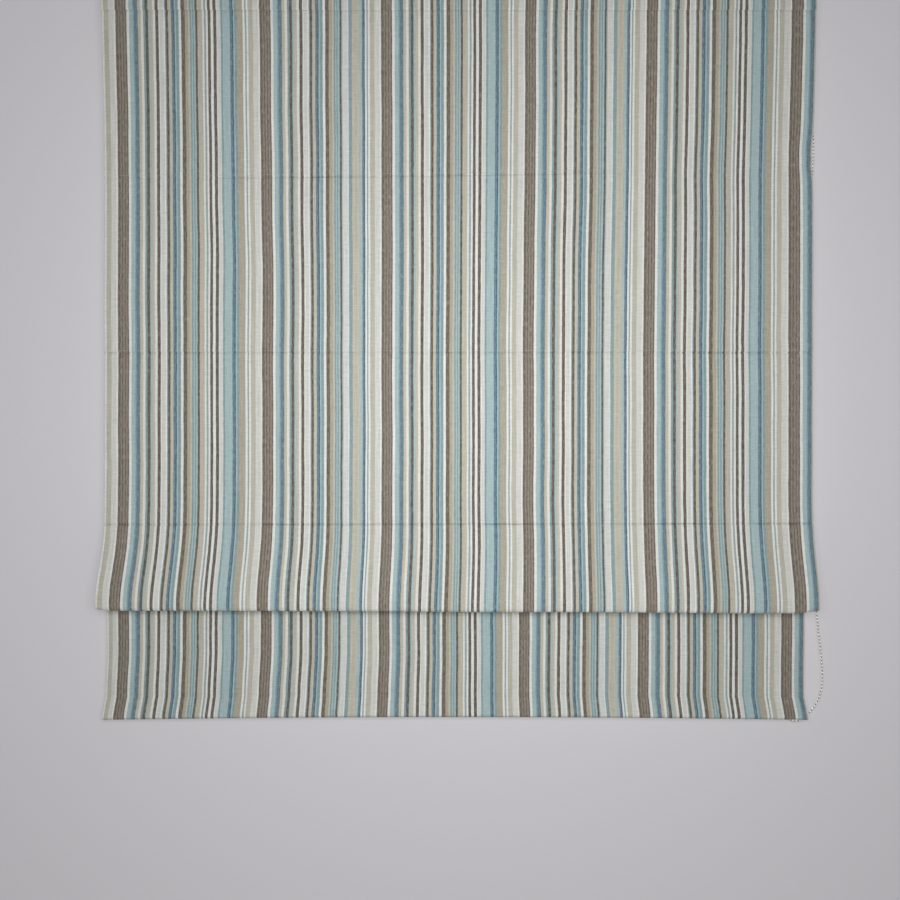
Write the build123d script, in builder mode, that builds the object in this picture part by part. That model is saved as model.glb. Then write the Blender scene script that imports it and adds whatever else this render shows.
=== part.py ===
"""Roman blind, partly raised: a striped cloth and its lining hang by hook tape on a chain driven
headrail, and three cords gather the cloth below the third rod into one deep fold."""

from build123d import *
from math import atan2, cos, degrees, pi, radians, tan
import os

os.makedirs("parts", exist_ok=True)

# Driving dimensions in millimetres. X runs to the viewer's right, Y into the wall, Z up.
# The wall is the plane Y = 0, and the origin is the middle of the bracket screws on it.

# Cloth and lining
blind_width = 1200.0
top_rise = 20.0
top_panel = 302.0
panel = 295.0
fold_drop = 143.0
fold_reach = 39.0
fold_width = 17.0
fold_bend = 7.5
lower_panel = 305.0
hem_height = 34.0
hem_lean = 11.0
hem_bend = 1.2
hem_shoulder_bend = 3.5
face_thickness = 0.8
lining_thickness = 0.6
lining_inset = 20.0
kink_bend = 20.0
seam_gap = 0.3

# Rods, their pockets and the cord rings
rod_count = 3
rod_radius = 2.5
rod_inset = 6.0
pocket_depth = 13.0
pocket_clearance = 0.15
pocket_base_bend = 1.2
pocket_margin = 4.5
ridge_drop = 26.0
ridge_half_width = 6.0
ridge_bend = 2.0
ring_radius = 5.0
ring_wire_radius = 1.0
ring_gap = 0.2

# Headrail, its tapes and brackets
rail_gap = 5.0
rail_depth = 40.0
rail_drop = 20.0
rail_roof_drop = 6.0
rail_wall = 1.6
rail_lip = 5.0
rail_inset = 3.0
crest_half_width = 11.0
crest_height = 4.0
crest_wall = 1.5
crest_flange = 4.0
tape_height = 25.0
tape_thickness = 1.2
bracket_width = 30.0
bracket_sheet = 1.5
bracket_inset = 150.0
bracket_drop = 14.0
bracket_grip = 1.5
bracket_clearance = 0.3
screw_spacing = 16.0
screw_hole_radius = 2.25

# Shaft, spools and cradles
shaft_side = 6.0
winding_radius = 10.0
cord_radius = 0.7
cord_inset = 100.0
cord_clearance = 0.3
spool_flange_rise = 3.0
spool_length = 24.0
spool_flange = 1.5
spool_hub_radius = 5.0
spool_headroom = 1.5
cradle_wall = 2.5
cradle_eye_wall = 3.0
cradle_base = 2.0
orb_radius = 3.6
orb_height = 7.0
orb_edge = 1.2
orb_drop = 1.3
cord_tail = 5.0

# Chain drive
bead_radius = 2.25
bead_pitch = 6.0
bead_sides = 4
wheel_pockets = 10
wheel_cheek = 1.2
wheel_track = 5.2
wheel_pocket_clearance = 0.2
chain_cord_radius = 0.6
chain_slot_clearance = 1.0
housing_width = 14.0
housing_floor = 3.0
end_plate = 2.0
end_round = 3.0
plug_length = 12.0
plug_wall = 2.0
hub_radius = 6.5
axle_radius = 3.0
spring_sheet = 0.8
spring_length = 5.0
spring_slit = 2.0
connector_radius = 3.0
connector_edge = 1.0

# Hem bar
bar_width = 25.0
bar_thickness = 2.0
bar_edge = 0.5
bar_inset = 24.0
bar_lift = 2.0
bar_cap_wall = 0.7
bar_cap_grip = 12.0

# Fits
running_fit = 0.05
push_fit = 0.1
side_play = 0.3
overrun = 10.0

# Sides of small round pieces, few because they repeat or are hidden, and shares of the sizes above
round_sides = 12
cord_sides = 6
pocket_round_share = 0.96
fold_join_share = 0.62
hem_mouth_share = 0.6
hem_shoulder_share = 0.86
chain_arc_share = 0.45
wrap_share = 0.998

# Places worked out from the sizes above, from the wall outwards
rail_back = -rail_gap
rail_front = rail_back - rail_depth
axis_y = rail_back - rail_depth / 2
roof_top = top_rise - rail_roof_drop
roof_under = roof_top - rail_wall
rail_bottom = -rail_drop
lip_top = rail_bottom + rail_wall
spool_flange_radius = winding_radius + spool_flange_rise
axis_z = roof_under - spool_headroom - spool_flange_radius
cord_y = axis_y + winding_radius
ring_reach = ring_radius + ring_wire_radius
pocket_half = rod_radius + pocket_clearance
pocket_outside = cord_y - ring_reach - ring_gap
pocket_end = pocket_outside - lining_thickness
rod_y = pocket_end - pocket_half
layer_y = pocket_end - pocket_depth
top_y = rail_front - 2 * tape_thickness - lining_thickness
fold_y = layer_y - fold_reach
rod_levels = [top_rise - top_panel - panel * i for i in range(rod_count)]
top_kink = rail_bottom
first_kink = rod_levels[0] + pocket_half + pocket_margin
fold_kink = rod_levels[-1] - pocket_half - pocket_margin
fold_bottom = rod_levels[-1] - fold_drop
fold_join_y = fold_y + fold_width * fold_join_share
ridge_z = rod_levels[-1] - ridge_drop
ridge_y = pocket_outside - lining_thickness - pocket_half
lower_y = ridge_y + ridge_half_width
ridge_rod_z = ridge_z + pocket_depth - pocket_half
hem_bottom = ridge_z - lower_panel
hem_top = hem_bottom + hem_height
hem_angle = degrees(atan2(hem_lean, hem_height))
bar_cap_thickness = bar_thickness + 2 * bar_cap_wall
hem_pocket = (bar_cap_thickness + 2 * pocket_clearance) / cos(radians(hem_angle))
hem_y = lower_y - hem_lean
lining_width = blind_width - 2 * lining_inset
cord_places = [-blind_width / 2 + cord_inset, 0, blind_width / 2 - cord_inset]
bracket_places = {
    "left": -blind_width / 2 + bracket_inset,
    "centre": 0,
    "right": blind_width / 2 - bracket_inset,
}
idle_end = -blind_width / 2 + rail_inset
drive_end = blind_width / 2 - rail_inset
rail_left = idle_end + end_plate
rail_right = drive_end - end_plate - housing_width
end_middle_z = (top_rise + rail_bottom) / 2
inner_depth = rail_depth - 2 * rail_wall
inner_height = roof_under - lip_top
inner_middle_z = (roof_under + lip_top) / 2
wheel_radius = wheel_pockets * bead_pitch / (2 * pi)
wheel_width = wheel_track + 2 * wheel_cheek
wheel_cheek_radius = wheel_radius + bead_radius
wheel_left = rail_right + housing_floor + side_play
wheel_x = wheel_left + wheel_width / 2
chain_slot = 2 * (bead_radius + chain_slot_clearance)
chamber_radius = wheel_cheek_radius + chain_slot_clearance


def save(piece, name):
    """Label a finished piece and write it."""
    piece.part.label = name
    export_step(piece.part, f"parts/{name}.step")


def shaft_plane(x):
    """The plane across the shaft at x, with its origin on the shaft's axis."""
    return Plane(origin=(x, axis_y, axis_z), x_dir=(0, 1, 0), z_dir=(1, 0, 0))


def round_section(radius):
    """The section of a small round piece. Its corners lie on the radius."""
    return RegularPolygon(radius, round_sides)


def bore_section(radius, mode=Mode.ADD):
    """The section of a bore. Its flats lie on the radius, so a round piece of that radius turns in it."""
    return RegularPolygon(radius, round_sides, major_radius=False, mode=mode)


def cloth_run(name, points, bends, thickness, side, width):
    """One run of cloth: its line in the side view, given its thickness on one side and its width."""
    with BuildPart() as run:
        with BuildSketch(Plane.YZ.offset(-width / 2)):
            with BuildLine():
                FilletPolyline(*points, radius=bends)
                offset(amount=thickness, side=side)
            make_face()
        extrude(amount=width)
    save(run, name)


# Headrail: an extruded channel, open below between two lips. Its front wall rises above the roof to
# carry the tape, and two flanged ribs on the roof take the brackets.
with BuildPart() as headrail:
    with BuildSketch(Plane.YZ.offset(rail_left)):
        with BuildLine():
            Polyline(
                (rail_back - rail_lip - rail_wall, rail_bottom),
                (rail_back, rail_bottom),
                (rail_back, roof_top),
                (rail_front, roof_top),
                (rail_front, rail_bottom),
                (rail_front + rail_lip + rail_wall, rail_bottom),
            )
            offset(amount=rail_wall, side=Side.LEFT, kind=Kind.INTERSECTION)
        make_face()
        with Locations((rail_front, rail_bottom)):
            Rectangle(rail_wall, top_rise - rail_bottom, align=(Align.MIN, Align.MIN))
        for end in (-1, 1):
            with Locations((axis_y + end * (crest_half_width - crest_flange), roof_top)):
                Rectangle(crest_wall, crest_height, align=(Align.CENTER, Align.MIN))
            with Locations((axis_y + end * (crest_half_width - crest_flange / 2), roof_top + crest_height)):
                Rectangle(crest_flange + crest_wall, crest_wall, align=(Align.CENTER, Align.MAX))
    extrude(amount=rail_right - rail_left)
save(headrail, "headrail")

# Clip brackets: folded strips that hook both flanges on the rail's roof and turn down the wall.
flange_under = roof_top + crest_height - crest_wall - bracket_clearance
flange_front = axis_y - crest_half_width - crest_wall / 2 - bracket_clearance
flange_rear = axis_y + crest_half_width + crest_wall / 2 + bracket_clearance
bracket_top = roof_top + crest_height + bracket_sheet
for place, x in bracket_places.items():
    with BuildPart() as bracket:
        with BuildSketch(Plane.YZ.offset(x - bracket_width / 2)):
            with BuildLine():
                Polyline(
                    (flange_front + bracket_grip, flange_under - bracket_sheet),
                    (flange_front - bracket_sheet, flange_under - bracket_sheet),
                    (flange_front - bracket_sheet, bracket_top),
                    (0, bracket_top),
                    (0, -bracket_drop),
                )
                offset(amount=bracket_sheet, side=Side.RIGHT, kind=Kind.INTERSECTION)
            make_face()
            with BuildLine():
                Polyline(
                    (flange_rear - bracket_grip, flange_under - bracket_sheet),
                    (flange_rear + bracket_sheet, flange_under - bracket_sheet),
                    (flange_rear + bracket_sheet, bracket_top),
                )
                offset(amount=bracket_sheet, side=Side.LEFT, kind=Kind.INTERSECTION)
            make_face()
        extrude(amount=bracket_width)
        with BuildSketch(Plane.XZ):
            with Locations((x, 0)):
                with GridLocations(0, screw_spacing, 1, 2):
                    Circle(screw_hole_radius)
        extrude(amount=bracket_sheet, mode=Mode.SUBTRACT)
    save(bracket, f"bracket_{place}")

# Idle end cap: a plate over the rail's end, a hollow plug and a boss that is bored for the bush.
with BuildPart() as idle_end_cap:
    with BuildSketch(Plane.YZ.offset(idle_end)):
        with Locations((axis_y, end_middle_z)):
            RectangleRounded(rail_depth, top_rise - rail_bottom, end_round)
    extrude(amount=end_plate)
    with BuildSketch(Plane.YZ.offset(rail_left)):
        with Locations((axis_y, inner_middle_z)):
            Rectangle(inner_depth - 2 * push_fit, inner_height - 2 * push_fit)
            Rectangle(
                inner_depth - 2 * (push_fit + plug_wall),
                inner_height - 2 * (push_fit + plug_wall),
                mode=Mode.SUBTRACT,
            )
    extrude(amount=plug_length)
    with BuildSketch(shaft_plane(rail_left)):
        round_section(hub_radius + plug_wall)
        bore_section(hub_radius + running_fit, mode=Mode.SUBTRACT)
    extrude(amount=plug_length)
save(idle_end_cap, "idle_end_cap")

# Idle bush: turns with the square shaft in the end cap's boss.
with BuildPart() as idle_bush:
    with BuildSketch(shaft_plane(rail_left + side_play)):
        round_section(hub_radius)
        Rectangle(shaft_side + 2 * running_fit, shaft_side + 2 * running_fit, mode=Mode.SUBTRACT)
    extrude(amount=plug_length - side_play)
save(idle_bush, "idle_bush")

# Drive housing: a moulded block in line with the rail. The chain wheel's chamber is open at the outer
# side, two slots let the chain out below, and a plug with a bearing for the wheel's hub fills the rail.
with BuildPart() as drive_housing:
    with BuildSketch(Plane.YZ.offset(rail_right)):
        with Locations((axis_y, end_middle_z)):
            RectangleRounded(rail_depth, top_rise - rail_bottom, end_round)
    extrude(amount=housing_width)
    with BuildSketch(shaft_plane(rail_right + housing_floor)):
        bore_section(chamber_radius)
        for strand in (-1, 1):
            with Locations((strand * wheel_radius, 0)):
                Rectangle(chain_slot, rail_depth, align=(Align.CENTER, Align.MAX))
    extrude(amount=housing_width, mode=Mode.SUBTRACT)
    with BuildSketch(Plane.YZ.offset(rail_right - plug_length)):
        with Locations((axis_y, inner_middle_z)):
            Rectangle(inner_depth - 2 * push_fit, inner_height - 2 * push_fit)
            Rectangle(
                inner_depth - 2 * (push_fit + plug_wall),
                inner_height - 2 * (push_fit + plug_wall),
                mode=Mode.SUBTRACT,
            )
        with Locations((axis_y, axis_z)):
            round_section(hub_radius + spring_sheet + plug_wall)
    extrude(amount=plug_length)
    with BuildSketch(shaft_plane(rail_right - plug_length)):
        bore_section(hub_radius + running_fit)
    extrude(amount=plug_length + housing_floor, mode=Mode.SUBTRACT)
    with BuildSketch(shaft_plane(rail_right - plug_length)):
        bore_section(hub_radius + spring_sheet + 2 * running_fit)
    extrude(amount=spring_length + side_play, mode=Mode.SUBTRACT)
save(drive_housing, "drive_housing")

# Brake spring: a split band that grips the wheel's hub inside the plug and holds the blind up.
with BuildPart() as brake_spring:
    with BuildSketch(shaft_plane(rail_right - plug_length)):
        bore_section(hub_radius + running_fit + spring_sheet)
        bore_section(hub_radius + running_fit, mode=Mode.SUBTRACT)
        Rectangle(2 * chamber_radius, spring_slit, align=(Align.MIN, Align.CENTER), mode=Mode.SUBTRACT)
    extrude(amount=spring_length)
save(brake_spring, "brake_spring")

# Chain wheel: two cheeks, a track of half round pockets whose lands clear the chain's cord, and a hub
# that passes through the housing and takes the shaft in its square socket.
with BuildPart() as chain_wheel:
    with BuildSketch(shaft_plane(wheel_left)):
        RegularPolygon(wheel_cheek_radius, 2 * wheel_pockets)
    extrude(amount=wheel_width)
    with BuildSketch(shaft_plane(wheel_left + wheel_cheek)):
        Circle(wheel_cheek_radius + overrun)
        Circle(wheel_radius - chain_cord_radius - side_play, mode=Mode.SUBTRACT)
        with PolarLocations(wheel_radius, wheel_pockets, start_angle=90):
            Circle(bead_radius + wheel_pocket_clearance)
    extrude(amount=wheel_track, mode=Mode.SUBTRACT)
    with BuildSketch(shaft_plane(rail_right - plug_length)):
        round_section(hub_radius)
    extrude(amount=wheel_left - rail_right + plug_length)
    with BuildSketch(shaft_plane(rail_right - plug_length)):
        Rectangle(shaft_side + 2 * running_fit, shaft_side + 2 * running_fit)
    extrude(amount=plug_length, mode=Mode.SUBTRACT)
    with BuildSketch(shaft_plane(wheel_left)):
        bore_section(axle_radius + running_fit)
    extrude(amount=wheel_width, mode=Mode.SUBTRACT)
save(chain_wheel, "chain_wheel")

# Drive cover: closes the chamber and carries the wheel on its axle pin.
cover_left = rail_right + housing_width
with BuildPart() as drive_cover:
    with BuildSketch(Plane.YZ.offset(cover_left)):
        with Locations((axis_y, end_middle_z)):
            RectangleRounded(rail_depth, top_rise - rail_bottom, end_round)
    extrude(amount=end_plate)
    with BuildSketch(shaft_plane(wheel_left + side_play)):
        round_section(axle_radius)
    extrude(amount=cover_left - wheel_left - side_play)
save(drive_cover, "drive_cover")

# Drive shaft: a square bar from the wheel's socket to the idle bush.
shaft_left = rail_left + 2 * side_play
shaft_right = rail_right - side_play
with BuildPart() as drive_shaft:
    with BuildSketch(shaft_plane(shaft_left)):
        Rectangle(shaft_side, shaft_side)
    extrude(amount=shaft_right - shaft_left)
save(drive_shaft, "drive_shaft")

# Cord spools: flanged drums whose hubs turn with the square shaft.
spool_core_radius = winding_radius - cord_radius - cord_clearance
cradle_gap = spool_length + 2 * side_play
hub_length = cradle_gap + 2 * cradle_wall
with BuildPart() as cord_spools:
    for x in cord_places:
        for flange_left in (x - spool_length / 2, x + spool_length / 2 - spool_flange):
            with BuildSketch(shaft_plane(flange_left)):
                round_section(spool_flange_radius)
            extrude(amount=spool_flange)
        with BuildSketch(shaft_plane(x - spool_length / 2)):
            round_section(spool_core_radius)
        extrude(amount=spool_length)
        with BuildSketch(shaft_plane(x - hub_length / 2)):
            round_section(spool_hub_radius)
        extrude(amount=hub_length)
        with BuildSketch(shaft_plane(x - hub_length / 2)):
            Rectangle(shaft_side + 2 * running_fit, shaft_side + 2 * running_fit)
        extrude(amount=hub_length, mode=Mode.SUBTRACT)
save(cord_spools, "cord_spools")

# Spool cradles: each stands on the rail's lips, its two ears carry a spool's hubs, and its floor guides
# the cord out.
ear_radius = spool_hub_radius + cradle_eye_wall
with BuildPart() as spool_cradles:
    with BuildSketch(Plane.XY.offset(lip_top)):
        with Locations(*[(x, axis_y) for x in cord_places]):
            Rectangle(hub_length, inner_depth - 2 * side_play)
        with Locations(*[(x, cord_y) for x in cord_places]):
            bore_section(cord_radius + cord_clearance, mode=Mode.SUBTRACT)
    extrude(amount=cradle_base)
    for x in cord_places:
        for ear in (x - hub_length / 2, x + cradle_gap / 2):
            with BuildSketch(shaft_plane(ear)):
                round_section(ear_radius)
                Rectangle(2 * ear_radius, axis_z - lip_top, align=(Align.CENTER, Align.MAX))
                bore_section(spool_hub_radius + running_fit, mode=Mode.SUBTRACT)
            extrude(amount=cradle_wall)
save(spool_cradles, "spool_cradles")

# Hook tape on the rail's front wall, and loop tape on the lining's top edge.
for name, back, left, right in (
    ("hook_tape", rail_front, rail_left, rail_right),
    ("loop_tape", rail_front - tape_thickness, -lining_width / 2, lining_width / 2),
):
    with BuildPart() as tape:
        with BuildSketch(Plane.YZ.offset(left)):
            with Locations((back, top_rise)):
                Rectangle(tape_thickness, tape_height, align=(Align.MAX, Align.MAX))
        extrude(amount=right - left)
    save(tape, name)

# Cloth. All runs follow one line, the meeting of face cloth and lining, from the top edge down: the
# face lies to its right and the lining to its left.
top_points = [(top_y, top_rise), (top_y, top_kink), (layer_y, first_kink)]
fold_points = [(layer_y, fold_kink), (fold_y, fold_bottom), (fold_join_y, fold_bottom)]
return_points = [
    (fold_join_y, fold_bottom),
    (fold_y + fold_width, fold_bottom),
    (ridge_y - ridge_half_width, ridge_z),
]
lower_points = [(lower_y, ridge_z), (lower_y, hem_top)]
hem_points = [
    (hem_y, hem_bottom),
    (hem_y + hem_pocket, hem_bottom),
    (hem_y + hem_pocket + hem_lean * hem_shoulder_share, hem_bottom + hem_height * hem_shoulder_share),
    (lower_y + hem_pocket * hem_mouth_share, hem_top),
]
kinks = [kink_bend, kink_bend]

cloth_run(
    "face_fabric_upper",
    top_points + fold_points,
    kinks + [kink_bend, fold_bend],
    face_thickness,
    Side.RIGHT,
    blind_width,
)
cloth_run(
    "face_fabric_return",
    return_points + [(ridge_y - seam_gap / 2, ridge_z)],
    [fold_bend - face_thickness, ridge_bend],
    face_thickness,
    Side.RIGHT,
    blind_width,
)
cloth_run(
    "face_fabric_hem",
    [(ridge_y + seam_gap / 2, ridge_z)] + lower_points + hem_points,
    [ridge_bend, kink_bend, hem_bend, hem_bend, hem_shoulder_bend],
    face_thickness,
    Side.RIGHT,
    blind_width,
)


def pocket_points(z):
    """The corners of a rod pocket that stands out behind the cloth at the level of its rod."""
    return [
        (layer_y, z + pocket_half),
        (pocket_end, z + pocket_half),
        (pocket_end, z - pocket_half),
        (layer_y, z - pocket_half),
    ]


pocket_round = pocket_half * pocket_round_share
pocket_bends = [pocket_base_bend, pocket_round, pocket_round, pocket_base_bend]
pockets = [point for z in rod_levels for point in pocket_points(z)]
cloth_run(
    "lining_upper",
    top_points + pockets + fold_points,
    kinks + pocket_bends * rod_count + [kink_bend, fold_bend],
    lining_thickness,
    Side.LEFT,
    lining_width,
)
cloth_run(
    "lining_return",
    return_points + [(ridge_y - pocket_half - lining_thickness - seam_gap, ridge_z)],
    [fold_bend - face_thickness, ridge_bend],
    lining_thickness,
    Side.LEFT,
    lining_width,
)
cloth_run(
    "lining_hem",
    [
        (ridge_y - pocket_half, ridge_z),
        (ridge_y - pocket_half, ridge_z + pocket_depth),
        (ridge_y + pocket_half, ridge_z + pocket_depth),
        (ridge_y + pocket_half, ridge_z),
        (lower_y, ridge_z),
        (lower_y, hem_top + kink_bend),
    ],
    [pocket_round, pocket_round, pocket_base_bend, ridge_bend],
    lining_thickness,
    Side.LEFT,
    lining_width,
)

# Stiffening rods in the pockets, and a row of cord rings sewn to each pocket's end. The fourth rod
# lies on the ridge of the fold, where the cords pull it up.
rod_places = [(rod_y, z) for z in rod_levels] + [(ridge_y, ridge_rod_z)]
for number, (y, z) in enumerate(rod_places, start=1):
    with BuildPart() as rod:
        with BuildSketch(Plane.YZ.offset(-lining_width / 2 + rod_inset)):
            with Locations((y, z)):
                round_section(rod_radius)
        extrude(amount=lining_width - 2 * rod_inset)
    save(rod, f"rod_{number}")

    with BuildPart() as rings:
        with BuildSketch(Plane.XY.offset(z - ring_wire_radius)):
            with Locations(*[(x, cord_y) for x in cord_places]):
                round_section(ring_reach)
                RegularPolygon(ring_radius - ring_wire_radius, round_sides, mode=Mode.SUBTRACT)
        extrude(amount=2 * ring_wire_radius)
    save(rings, f"ring_row_{number}")

# Lift cords, straight from spool to orb through the cradle's floor and the four rings.
cord_end = ridge_rod_z - orb_drop - cord_tail
for number, x in enumerate(cord_places, start=1):
    with BuildPart() as lift_cord:
        with BuildSketch(Plane.XY.offset(cord_end)):
            with Locations((x, cord_y)):
                RegularPolygon(cord_radius, cord_sides)
        extrude(amount=axis_z - cord_end)
    save(lift_cord, f"lift_cord_{number}")

# Cord orbs: the stops that hold the cords under the lowest rings.
with BuildPart() as cord_orbs:
    with BuildSketch(Plane.XY.offset(ridge_rod_z - orb_drop - orb_height)):
        with Locations(*[(x, cord_y) for x in cord_places]):
            round_section(orb_radius)
    extrude(amount=orb_height)
    chamfer(cord_orbs.edges().group_by(Axis.Z)[0] + cord_orbs.edges().group_by(Axis.Z)[-1], orb_edge)
    with BuildSketch(Plane.XY.offset(ridge_rod_z - orb_drop - orb_height)):
        with Locations(*[(x, cord_y) for x in cord_places]):
            round_section(cord_radius + cord_clearance)
    extrude(amount=orb_height, mode=Mode.SUBTRACT)
save(cord_orbs, "cord_orbs")

# Hem bar in the hem's pocket, tilted with it, and a cap on each end.
pocket_foot = Vector(hem_y + hem_pocket / 2, hem_bottom)
pocket_rise = Vector(hem_lean, hem_height).normalized()
bar_middle = pocket_foot + pocket_rise * (bar_lift + bar_width / 2)
bar_left = -blind_width / 2 + bar_inset
bar_right = blind_width / 2 - bar_inset


def bar_plane(x):
    """The plane across the hem bar at x, tilted with the hem."""
    across = (0, pocket_rise.Y, -pocket_rise.X)
    return Plane(origin=(x, bar_middle.X, bar_middle.Y), x_dir=across, z_dir=(1, 0, 0))


with BuildPart() as hem_bar:
    with BuildSketch(bar_plane(bar_left)):
        Rectangle(bar_thickness, bar_width)
    extrude(amount=bar_right - bar_left)
    fillet(hem_bar.edges().filter_by(Axis.X), bar_edge)
save(hem_bar, "hem_bar")

for name, left, mouth in (
    ("hem_bar_cap_left", bar_left - bar_cap_wall, bar_left),
    ("hem_bar_cap_right", bar_right - bar_cap_grip, bar_right - bar_cap_grip),
):
    with BuildPart() as cap:
        with BuildSketch(bar_plane(left)):
            RectangleRounded(bar_cap_thickness, bar_width + 2 * bar_cap_wall, bar_cap_wall)
        extrude(amount=bar_cap_grip + bar_cap_wall)
        with BuildSketch(bar_plane(mouth)):
            Rectangle(bar_thickness + 2 * running_fit, bar_width + 2 * running_fit)
        extrude(amount=bar_cap_grip, mode=Mode.SUBTRACT)
    save(cap, name)

# Bead chain: an endless loop over the wheel. The outer strand hangs beside the cloth, swings out near
# the floor of the loop and turns back behind the hem; the inner strand rises behind the cloth to the
# wheel. The route is cut at the connector, and its points are in millimetres.
strand_exit = rail_bottom - overrun
chain_route = [
    (568.0, -9.0, -590.0),
    (572.0, -9.0, -330.0),
    (wheel_x, axis_y - wheel_radius, strand_exit),
    (wheel_x, axis_y - wheel_radius, axis_z + wheel_radius),
    (wheel_x, axis_y + wheel_radius, axis_z + wheel_radius),
    (wheel_x, axis_y + wheel_radius, strand_exit),
    (602.0, -10.5, -130.0),
    (609.0, -9.0, -260.0),
    (611.5, -9.0, -800.0),
    (616.0, -9.0, -925.0),
    (619.0, -9.0, -1035.0),
    (628.5, -9.0, -1108.0),
    (630.0, -9.0, -1155.0),
    (620.0, -9.0, -1186.0),
    (602.0, -9.0, -1204.0),
    (580.0, -9.0, -1212.5),
    (560.0, -9.0, -1205.0),
    (549.0, -9.0, -1180.0),
    (547.0, -9.0, -1130.0),
    (555.0, -9.0, -1010.0),
    (565.0, -9.0, -800.0),
    (567.6, -9.0, -601.0),
]


def chain_bend(before, corner, after):
    """The largest arc at a corner of the route that its two runs leave room for."""
    run_in = Vector(corner) - Vector(before)
    run_out = Vector(after) - Vector(corner)
    turn = radians(run_in.get_angle(run_out))
    return chain_arc_share * min(run_in.length, run_out.length) / tan(turn / 2)


chain_bends = [
    wheel_radius * wrap_share if corner[2] > axis_z else chain_bend(before, corner, after)
    for before, corner, after in zip(chain_route, chain_route[1:], chain_route[2:])
]
print("chain bends", [round(bend, 1) for bend in chain_bends])

with BuildLine() as chain_line:
    FilletPolyline(*chain_route, radius=chain_bends)
chain_wire = chain_line.wire()
with BuildPart() as chain_cord:
    with BuildSketch(Plane(origin=chain_wire @ 0, z_dir=chain_wire % 0)) as cord_section:
        RegularPolygon(chain_cord_radius, cord_sides)
    sweep(path=chain_wire)
save(chain_cord, "chain_cord")
print("chain length", round(chain_wire.length, 1), "cord volume share",
      round(chain_cord.part.volume / (cord_section.sketch.area * chain_wire.length), 4))

# The beads stand in the wheel's pockets, so they are counted from the top of the wheel.
wheel_top = chain_wire.param_at_point((wheel_x, axis_y, axis_z + wheel_radius)) * chain_wire.length
first_bead = wheel_top % bead_pitch
bead_count = int((chain_wire.length - first_bead) / bead_pitch) + 1
print("beads", bead_count, "first at", round(first_bead, 2), "last gap",
      round(chain_wire.length - first_bead - (bead_count - 1) * bead_pitch, 2))
with BuildPart() as bead:
    with BuildSketch(mode=Mode.PRIVATE) as bead_girth:
        RegularPolygon(bead_radius, bead_sides)
    loft(sections=[Vertex(0, 0, -bead_radius), bead_girth.face(), Vertex(0, 0, bead_radius)], ruled=True)
with BuildPart() as bead_chain:
    places = [
        chain_wire.location_at(first_bead + number * bead_pitch, position_mode=PositionMode.LENGTH)
        for number in range(bead_count)
    ]
    with Locations(*places):
        add(bead.part)
save(bead_chain, "bead_chain")

# Chain connector: a moulded clasp that joins the two ends of the chain.
clasp_foot = Vector(chain_route[-1])
clasp_rise = Vector(chain_route[0]) - clasp_foot
with BuildPart() as chain_connector:
    with BuildSketch(Plane(origin=clasp_foot, z_dir=clasp_rise)):
        round_section(connector_radius)
    extrude(amount=clasp_rise.length)
    clasp_ends = chain_connector.faces().sort_by(Axis.Z)
    chamfer(clasp_ends[0].edges() + clasp_ends[-1].edges(), connector_edge)
save(chain_connector, "chain_connector")
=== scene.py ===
"""Roman blind of striped cloth on a chain driven headrail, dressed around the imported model."""
from math import cos, exp, pi, radians, sin, tan

import bmesh
import bpy
from mathutils import Matrix, Vector, noise


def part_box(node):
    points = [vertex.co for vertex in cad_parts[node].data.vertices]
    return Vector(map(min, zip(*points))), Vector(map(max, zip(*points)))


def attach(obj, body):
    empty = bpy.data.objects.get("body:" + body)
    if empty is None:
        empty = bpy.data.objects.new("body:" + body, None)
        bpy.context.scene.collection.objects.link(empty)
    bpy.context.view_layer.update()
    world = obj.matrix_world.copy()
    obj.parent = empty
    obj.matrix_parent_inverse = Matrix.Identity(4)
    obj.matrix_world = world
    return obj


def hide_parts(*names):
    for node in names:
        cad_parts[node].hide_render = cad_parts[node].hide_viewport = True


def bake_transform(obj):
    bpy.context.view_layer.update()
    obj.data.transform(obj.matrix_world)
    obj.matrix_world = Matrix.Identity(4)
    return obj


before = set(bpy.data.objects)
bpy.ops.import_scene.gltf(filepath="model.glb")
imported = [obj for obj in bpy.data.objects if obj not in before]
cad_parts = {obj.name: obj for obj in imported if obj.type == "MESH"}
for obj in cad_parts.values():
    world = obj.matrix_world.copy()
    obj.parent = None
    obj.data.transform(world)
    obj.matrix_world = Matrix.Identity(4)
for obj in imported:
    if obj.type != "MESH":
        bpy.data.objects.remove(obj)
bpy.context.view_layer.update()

mm = 0.001
scene = bpy.context.scene


# Headrail and clip brackets
# The rail is an aluminium extrusion with a white powder coat, cut to length. The brackets are folded
# from zinc plated steel strip, screwed to the wall, and hook the two flanges on the rail's roof.
def linear(code):
    """A colour written as an sRGB hex value, as the linear colour that a shader takes."""
    channels = [int(code[place:place + 2], 16) / 255 for place in (1, 3, 5)]
    return [c / 12.92 if c <= 0.04045 else ((c + 0.055) / 1.055) ** 2.4 for c in channels] + [1.0]


def add_node(tree, kind, inputs=(), **settings):
    """Add a node with its settings, and fill its inputs from values or from other nodes' outputs."""
    added = tree.nodes.new(kind)
    for name, value in settings.items():
        setattr(added, name, value)
    for name, value in dict(inputs).items():
        if isinstance(value, bpy.types.NodeSocket):
            tree.links.new(value, added.inputs[name])
        else:
            added.inputs[name].default_value = value
    return added


def start_material(name, **constants):
    """A new material: its node tree and its main shader, with the shader's constant values set."""
    made = bpy.data.materials.new(name)
    made.use_nodes = True
    shader = made.node_tree.nodes["Principled BSDF"]
    for socket, value in constants.items():
        shader.inputs[socket.replace("_", " ")].default_value = value
    return made, made.node_tree, shader


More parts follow.
